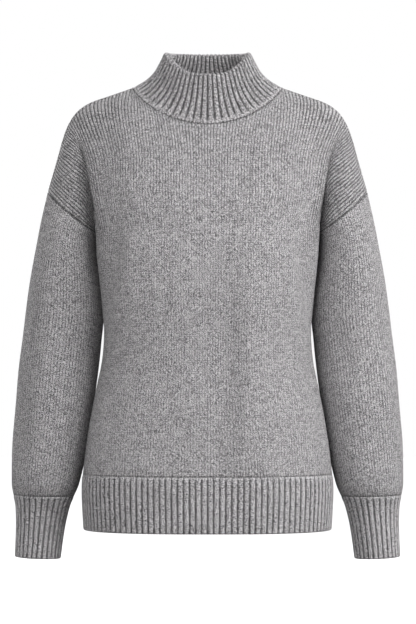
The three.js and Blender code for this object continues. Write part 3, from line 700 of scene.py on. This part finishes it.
def panelGrid(isBack):
    p = bodyPanel
    cells = p["innerStep"][1] * int((p["wales"] + p["dropWales"]) * p["perWale"] / p["innerStep"][1])
    shares = np.linspace(0, 1, p["fineShares"])
    counts = waleCount(shares, p["yokeHeights"][0])
    wale = np.interp(np.linspace(0, counts[-1], cells + 1), counts, shares)
    # down to the torso's second section, or at the underarm to its first
    guides = panelGuides(isBack, wale)
    end = len(guides) - 2 - easeStep(wale, torsoForm["underarmWale"], 1)
    fine = splineDown(guides, np.linspace(0, 1, p["guideSteps"])[:, None] * end[None])
    lengths = lengthsAlong(fine)
    rest = np.linspace(0, 1, p["yokeRows"] + 1)[1:, None] * (lengths[-1] - seamRows[-1]) + seamRows[-1]
    wanted = np.concatenate([np.repeat(np.array(seamRows)[:, None], cells + 1, 1), rest])
    upper = atLengths(fine, lengths, wanted)
    # then down to the hem band
    heights = np.arange(torsoRows[0][0], torsoForm["hemStart"] - 1, -1.0)
    dense = np.stack([torsoLine(h, isBack, wale) for h in heights])
    down = np.linspace(0, 1, p["torsoRows"] + 1)[1:, None]
    wantedDown = -(upper[-1, :, 2] + down * (torsoForm["hemStart"] - upper[-1, :, 2]))
    lower = atLengths(dense, np.repeat(-heights[:, None], cells + 1, 1), wantedDown)
    half = np.concatenate([upper, lower])
    fromTop = lengthsAlong(half)
    course = (fromTop[-1] - fromTop) / p["courseHeight"]
    wales = mirrored(wale[None], -1)[0]
    return foldBody(mirrored(half, [-1, 1, 1]), isBack, wales), mirrored(fromTop), mirrored(course), wales


def buildPanel(name, isBack):
    p = bodyPanel
    points, fromTop, course, wale = panelGrid(isBack)
    height, share = points[..., 2], np.abs(wale)
    columns = waleCount(np.broadcast_to(wale, height.shape), height)
    fromSide = np.broadcast_to((1 - share) * p["wales"] * p["waleWidth"], height.shape)
    away, atSide = np.minimum(fromTop, fromSide), fromSide < fromTop
    onShoulder = easeStep(height, *p["shoulderHeights"]) * easeStep(share, *p["shoulderShares"])
    onDrop = easeStep(share, *p["dropShares"]) * easeStep(height, *p["dropHeights"])
    lift = p["bodyLift"] + p["chestLift"] * easeStep(height, *p["chestHeights"])
    lift = lift + np.maximum(p["shoulderLift"] * onShoulder, p["dropLift"] * onDrop)
    ridge = p["neckRidge"] + (p["armRidge"] - p["neckRidge"]) * easeStep(height, *p["ridgeHeights"])
    dip = np.where(atSide, p["armDip"], p["seamDip"])
    teethAt = np.where(atSide, course, columns)
    onSeam = np.where(atSide, easeStep(height, *p["armSeamHeights"]), 1)
    shape, shadow = seamShape(away, teethAt, dip, ridge) * onSeam, seamShadow(away, teethAt) * onSeam
    lift = lift * easeStep(away, *p["columnFade"])
    outward = (0, 1 if isBack else -1, 0)
    return plainShell(name, p, points, outward, columns, course, lift, shape, shadow, False)


frontPanel = buildPanel("front_panel", False)
backPanel = buildPanel("back_panel", True)
print("front and back panels", len(frontPanel.data.polygons), len(backPanel.data.polygons))

# ribbed bands; the hem, cuffs and collar change what differs
ribBand = {"perRib": 8, "wall": 3.4, "crest": 2.0, "roundness": 0.85, "courseHeight": 3.1, "seamDip": 0.5,
           "seamShade": 0.35, "teeth": 2, "innerShift": 0.5, "fullness": 0, "fullRows": (0.5, 0.9),
           "edgeTurns": (25, 50, 72, 86)}  # degrees of the rows that round the free edge


def ribbedShell(name, p, points, outward, ribs, knit, tube):
    # a band with ribs on both faces and a rounded free edge at its last row
    normals = gridNormals(points, tube, outward)
    fromTop = lengthsAlong(points)
    half, turns = p["wall"] / 2, np.radians(p["edgeTurns"])
    middle = points - normals * half
    # a folded rim is fuller than the band below it
    fuller = p["fullness"] * easeStep(fromTop / fromTop[-1:], *p["fullRows"])
    edgeRadius = half + p["fullness"] - sunkShare * p["crest"]
    ends = middle[-1] - middle[-2]
    ends /= np.linalg.norm(ends, axis=-1, keepdims=True)
    lift = easeStep(fromTop, *p["columnFade"])
    length = np.concatenate([fromTop, fromTop[-1:] + half * np.sin(turns)[:, None]])
    allLift = np.concatenate([lift, np.ones((len(turns), lift.shape[1]))])
    course = (length.max() - length) / p["courseHeight"]
    deep = allLift - seamShadow(length, ribs * p["teeth"]) * p["seamShade"]
    sheets = []
    shell = Shell()
    for side in (1, -1):
        away = normals * side
        rows = middle + away * (half + fuller - sunkShare * p["crest"] * lift)[..., None]
        if side > 0:
            rows = rows + away * seamShape(fromTop, ribs * p["teeth"], p["seamDip"], 0)[..., None]
        edgeOut = np.stack([away[-1] * math.cos(t) + ends * math.sin(t) for t in turns])
        grid = np.concatenate([rows, middle[-1] + edgeRadius * edgeOut])
        columns = ribs if side > 0 else ribs + p["innerShift"]
        sheets.append(shell.grid(grid, np.concatenate([away, edgeOut]), columns, allLift, course, deep, tube))
        shell.fill(sheets[-1], side < 0)
    shell.close(*sheets, tube)
    return finishPiece(shell, name, p, knit)


hemBand = dict(ribBand, ribs=31, rows=22, columnFade=(0.5, 5))


def buildHem(name, isBack):
    p = hemBand
    cells = p["ribs"] * p["perRib"]
    wale = np.arange(cells + 1) / cells
    start, end = torsoForm["hemStart"], torsoRows[-1][0] + p["wall"] / 2
    heights = start + (end - start) * np.linspace(0, 1, p["rows"] + 1)
    half = np.stack([torsoLine(h, isBack, wale) for h in heights])
    ribs = np.arange(2 * cells + 1) / p["perRib"]
    points = foldBody(mirrored(half, [-1, 1, 1]), isBack, mirrored(wale[None], -1)[0])
    return ribbedShell(name, p, points, (0, 1 if isBack else -1, 0), ribs, ribKnit, False)


frontHem = buildHem("front_hem", False)
backHem = buildHem("back_hem", True)
print("hems", len(frontHem.data.polygons))

# sleeves and cuffs; side is 1 for the wearer's left and -1 for the right
sleeveTube = {"wales": 80, "perWale": 4, "rows": 104, "innerStep": (2, 8), "wall": 2.8, "backing": 0,
              "crest": 0.5, "roundness": 0.7, "courseHeight": 3.1, "seamDip": 0.7, "seamRidge": 0.2,
              "lift": 0.45, "columnFade": (0.5, 4)}
cuffTube = dict(ribBand, ribs=28, rows=26, columnFade=(0.5, 4))
armSteps = {"down": 400, "round": 33}  # how finely the arm is measured before its rows are shared out


def armGrid(angle, at):
    # rows of the arm at places counted in armRows; -1 is the armhole seam
    rows = [armholeLine(angle)]
    for outX, outZ, inX, inZ, middle, halfDepth in armRows:
        outer, inner = np.array([outX, middle, outZ], float), np.array([inX, middle, inZ], float)
        ring = (outer + inner) / 2 + np.cos(angle)[:, None] * (outer - inner) / 2
        ring[:, 1] += halfDepth * np.sin(angle)
        rows.append(ring)
    return smoothRows(np.arange(-1, len(armRows)), np.stack(rows), at)


def armPlaces(first, last, wanted):
    # places between two rows of the arm, at the lengths that wanted gives for its whole mean length
    places = np.linspace(first, last, armSteps["down"])
    dense = armGrid(np.linspace(0, 2 * math.pi, armSteps["round"]), places)
    length = lengthsAlong(dense).mean(1)
    return np.interp(wanted(length[-1]), length, places)


def foldSleeve(points, around, side):
    f = sleeveFoldForm
    down = np.linspace(0, 1, points.shape[0])[:, None]
    lift = np.zeros(points.shape[:2])
    for place, where, slant, rise, reach in sleeveFolds[side]:
        off = (around[None] - place - slant * (down - where) + 0.5) % 1 - 0.5
        lift += rise * bump(off, 0, reach) * bump(down, where, f["reachDown"])
    slanting = np.sin(around * 4 * math.pi + down * f["waveSlant"])
    lift += f["wave"] * slanting * np.sin(down * f["waveDown"] + 1)
    lift *= easeStep(down, *f["fadeIn"]) * (1 - easeStep(down, *f["fadeOut"]))
    return points + gridNormals(points, True, (1, 0, 0)) * lift[..., None]


def buildSleeve(name, side):
    p = sleeveTube
    columns = np.arange(p["wales"] * p["perWale"] + 1) / p["perWale"]
    around = columns / p["wales"]
    rest = np.linspace(0, 1, p["rows"] + 1)[1:]
    places = armPlaces(-1, cuffStart, lambda whole: np.concatenate([
        seamRows, seamRows[-1] + (whole - seamRows[-1]) * rest]))
    points = foldSleeve(armGrid(-2 * math.pi * around, places), around, side) * [side, 1, 1]
    fromTop = lengthsAlong(points)
    course = (fromTop[-1:].mean() - fromTop) / p["courseHeight"]
    lift = p["lift"] * easeStep(fromTop, *p["columnFade"])
    shape = seamShape(fromTop, columns, p["seamDip"], p["seamRidge"])
    shadow = seamShadow(fromTop, columns)
    return plainShell(name, p, points, (side, 0, 0), columns, course, lift, shape, shadow, True)


def buildCuff(name, side):
    p = cuffTube
    ribs = np.arange(p["ribs"] * p["perRib"] + 1) / p["perRib"]
    shares = np.linspace(0, 1, p["rows"] + 1)
    places = armPlaces(cuffStart, len(armRows) - 1, lambda whole: (whole - p["wall"] / 2) * shares)
    points = armGrid(-2 * math.pi * ribs / p["ribs"], places) * [side, 1, 1]
    return ribbedShell(name, p, points, (side, 0, 0), ribs, ribKnit, True)


leftSleeve, rightSleeve = buildSleeve("left_sleeve", 1), buildSleeve("right_sleeve", -1)
leftCuff, rightCuff = buildCuff("left_cuff", 1), buildCuff("right_cuff", -1)
print("sleeves and cuffs", len(leftSleeve.data.polygons), len(leftCuff.data.polygons))

# the folded collar runs from the neck seam past a bowed middle to its rim; pairs are front, back
collarBand = dict(
    ribBand, ribs=57, perRib=10, rows=26, wall=6.4, crest=2.7, courseHeight=2.8, seamDip=1.6, seamShade=1,
    innerShift=0, fullness=1.3, columnFade=(3, 10), seamShares=(0, 0.012, 0.025, 0.045), firstShare=0.07,
    rimHalfWidth=63.5, rimDepth=(-60, 52), rimDrop=(35, -0.5), rimHeight=50, rimRound=3,
    bowHalfWidth=75, bowDepth=(-63, 53), bowDrop=(37, 0), bowHeight=12, dropPower=3,
    curl=0.02, curlRows=(0.72, 1), evenShare=0.55, fineTurns=1441)


def collarGrid(turn, share):
    p = collarBand
    lean, isBack = np.abs(np.cos(turn)), (np.cos(turn) < 0).astype(int)
    dip = 1 - np.abs(np.sin(turn)) ** p["dropPower"]

    def ring(part, height):
        depth, drop = (np.array(p[part + size], float)[isBack] for size in ("Depth", "Drop"))
        return np.stack([p[part + "HalfWidth"] * np.sin(turn), depth * lean, height - drop * dip], -1)

    seam = neckLine(turn)
    bow, rim = ring("bow", p["bowHeight"]), ring("rim", p["rimHeight"] - p["rimRound"])
    s = share[:, None, None]
    # the last rows lean in over the neck opening
    curl = 1 - p["curl"] * easeStep(s, *p["curlRows"]) * [1, 1, 0]
    return (seam * (1 - s) ** 2 + 2 * bow * s * (1 - s) + rim * s ** 2) * curl


def buildCollar(name):
    p = collarBand
    turns = np.linspace(0, 2 * math.pi, p["fineTurns"])
    length = lengthsAlong(collarGrid(turns, np.array([p["evenShare"]]))[0])
    ribs = np.arange(p["ribs"] * p["perRib"] + 1) / p["perRib"]
    turn = np.interp(ribs / p["ribs"] * length[-1], length, turns)
    share = np.concatenate([p["seamShares"], np.linspace(p["firstShare"], 1, p["rows"])])
    return ribbedShell(name, p, collarGrid(turn, share), (0, -1, 0), ribs, shadedCollarKnit, True)


collar = buildCollar("neck_collar")
print("collar", len(collar.data.polygons))

# stitches of yarn along the neck seam and the armholes, as far round as they show; their near-black yarn is
# painted shade of the seam's groove
seamStitch = {"pitch": 2.9, "length": 3.6, "width": 1.25, "slant": 0.45, "sink": 0.35,
              "neckSteps": 360, "neckOut": (1, 0.8, 0.75), "armSteps": 121, "armReach": 0.62}


def linkSeam(owner, path, outward, closed):
    # joins the stitches to the piece that they are sewn on
    s = seamStitch
    count = len(path)
    mesh = bpy.data.meshes.new("seam")
    edges = [(i, (i + 1) % count) for i in range(count if closed else count - 1)]
    mesh.from_pydata((path - outward * s["sink"]) * mm, edges, [])
    layer = mesh.attributes.new("outward", "FLOAT_VECTOR", "POINT")
    layer.data.foreach_set("vector", outward.astype(np.float32).ravel())
    seam = bpy.data.objects.new("seam", mesh)
    bpy.context.scene.collection.objects.link(seam)
    applyTree(seam, linkedSeam, {
        "Pitch": s["pitch"] * mm, "Length": s["length"] * mm, "Width": s["width"] * mm,
        "Slant": s["slant"], "Material": shadedSeamYarn})
    with bpy.context.temp_override(active_object=owner, selected_editable_objects=[owner, seam]):
        bpy.ops.object.join()


turn = np.linspace(0, 2 * math.pi, seamStitch["neckSteps"] + 1)[:-1]
neckOut = unit(np.stack([np.sin(turn), -np.cos(turn), np.ones_like(turn)], -1) * seamStitch["neckOut"])
linkSeam(collar, neckLine(turn), neckOut, True)
armTurn = np.linspace(-1, 1, seamStitch["armSteps"]) * seamStitch["armReach"] * math.pi
armSeam = armholeLine(armTurn)
for owner, side in ((leftSleeve, 1), (rightSleeve, -1)):
    linkSeam(owner, armSeam * [side, 1, 1], unit(armSeam - armholeMiddle) * [side, 1, 1], False)
print("seams linked")

# piece, the node that it stands for, slot, flat width and length in metres, area where it isn't a rectangle
pieces = [
    (frontPanel, "front", "plain_knit", (0.62, 0.60), 0.27),
    (backPanel, "back", "plain_knit", (0.59, 0.60), 0.25),
    (leftSleeve, "sleeve_left", "plain_knit", (0.38, 0.44), 0.14),
    (rightSleeve, "sleeve_right", "plain_knit", (0.38, 0.44), 0.14),
    (frontHem, "hem_front", "rib_knit", (0.52, 0.08), None),
    (backHem, "hem_back", "rib_knit", (0.47, 0.08), None),
    (leftCuff, "cuff_left", "rib_knit", (0.24, 0.09), None),
    (rightCuff, "cuff_right", "rib_knit", (0.24, 0.09), None),
    (collar, "collar", "rib_knit", (0.48, 0.07), None),
]
for piece, node, slot, flat, area in pieces:
    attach(piece, "root")
    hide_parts(node)

# floor, light and camera, in metres
studio = {"floorDrop": 0.25, "floorRadius": 9.0, "domeRadius": 16.0, "floorShade": 0.85, "floorGlow": 0.9,
          "sky": 0.22, "lampSize": 1.8, "lampDistance": 3.0}
# turn from the front towards the wearer's left and height, both in degrees, and power
lamps = {"keyLamp": (45, 32, 74), "nearSideLamp": (70, 0, 42), "fillLamp": (-20, 20, 43),
         "farSideLamp": (-95, 10, 14), "backLamp": (150, 30, 60), "farBackLamp": (-150, 30, 50)}
view = {"distance": 4.8, "height": -0.325, "seen": 0.905, "sensor": 36.0, "aside": 0.0007, "clipEnd": 50}
low, high = cadBounds
centre = (low + high) / 2


def paperMaterial(name, shade, glow):
    return newMaterial(name, lambda nodes: nodes.make("ShaderNodeBsdfPrincipled", sockets={
        "Base Color": (shade, shade, shade, 1), "Roughness": 1.0, "Specular IOR Level": 0.0,
        "Emission Color": (1, 1, 1, 1), "Emission Strength": glow}))


def buildStage():
    # a pale floor under a white dome; neither throws light on the cloth
    bpy.ops.mesh.primitive_circle_add(vertices=96, radius=studio["floorRadius"], fill_type="NGON",
                                      location=(0, 0, low.z - studio["floorDrop"]))
    floor = bpy.context.active_object
    bpy.ops.mesh.primitive_uv_sphere_add(segments=48, ring_count=24, radius=studio["domeRadius"])
    dome = bpy.context.active_object
    for part, name, shade, glow in ((floor, "floor", studio["floorShade"], studio["floorGlow"]),
                                    (dome, "dome", 0.0, 1.0)):
        part.name = name
        part.data.materials.append(paperMaterial(name + "Paper", shade, glow))
        part.visible_diffuse = part.visible_glossy = False
    dome.visible_shadow = False


def addLamp(name, turn, height, power):
    data = bpy.data.lights.new(name, "AREA")
    data.shape, data.size, data.energy = "SQUARE", studio["lampSize"], power
    turn, height = math.radians(turn), math.radians(height)
    away = Vector((math.sin(turn) * math.cos(height), -math.cos(turn) * math.cos(height), math.sin(height)))
    lamp = bpy.data.objects.new(name, data)
    lamp.location = centre + away * studio["lampDistance"]
    lamp.rotation_euler = away.to_track_quat("Z", "Y").to_euler()
    lamp.visible_camera = False
    bpy.context.scene.collection.objects.link(lamp)


def addCamera():
    data = bpy.data.cameras.new("camera")
    data.sensor_width = view["sensor"]
    data.lens = view["sensor"] * view["distance"] / view["seen"]
    data.clip_end = view["clipEnd"]
    camera = bpy.data.objects.new("camera", data)
    camera.location = (view["aside"], -view["distance"], view["height"])
    camera.rotation_euler = (math.pi / 2, 0, 0)
    bpy.context.scene.collection.objects.link(camera)
    bpy.context.scene.camera = camera


buildStage()
world = bpy.data.worlds.new("softSky")
world.use_nodes = True
world.node_tree.nodes["Background"].inputs["Color"].default_value = (1, 1, 1, 1)
world.node_tree.nodes["Background"].inputs["Strength"].default_value = studio["sky"]
bpy.context.scene.world = world
for name, place in lamps.items():
    addLamp(name, *place)
addCamera()
bpy.context.scene.view_settings.view_transform = "Standard"
print("light and camera set")
